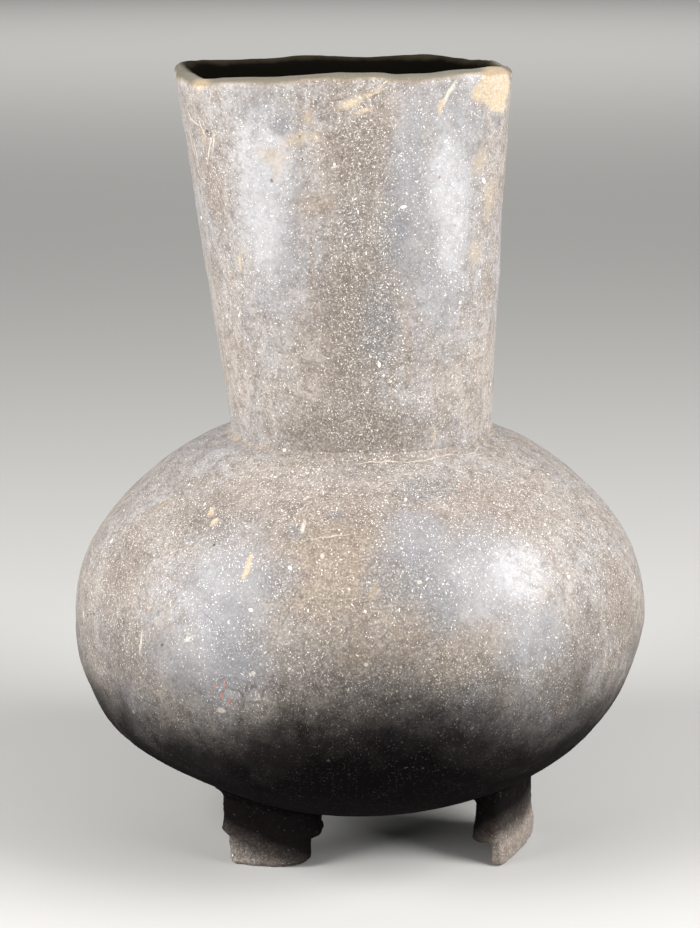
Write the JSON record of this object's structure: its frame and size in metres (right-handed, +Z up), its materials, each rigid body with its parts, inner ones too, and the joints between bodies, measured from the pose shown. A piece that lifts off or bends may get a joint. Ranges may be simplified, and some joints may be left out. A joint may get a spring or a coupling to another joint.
{
  "type": "tripod bottle",
  "caption": "Hand-built pottery water bottle: hollow squashed globe, tall neck flaring to a rounded square mouth, and stepped slab feet luted beneath.",
  "frame": {"origin": "on the ground below the globe's axis, at the centre of the part's bounding box base", "axes": "+Z up along the globe's axis; -Y towards the front; +X to the right seen from the front"},
  "size_m": [0.167, 0.165, 0.2278],
  "materials": {
    "fired_clay": "unglazed grey-brown earthenware, burnished to a low sheen, full of white crushed-shell flecks",
    "foot_clay": "unglazed earthenware, worn matte and paler at the toes",
    "luting_clay": "smeared joint clay, matte"
  },
  "bodies": {
    "root": {"globe_body": "fired_clay", "neck": "fired_clay", "neck_joint_bead": "luting_clay", "left_foot": "foot_clay", "left_foot_joint_bead": "luting_clay", "right_foot": "foot_clay", "right_foot_joint_bead": "luting_clay", "back_foot": "foot_clay", "back_foot_joint_bead": "luting_clay"}
  },
  "joints": []
}
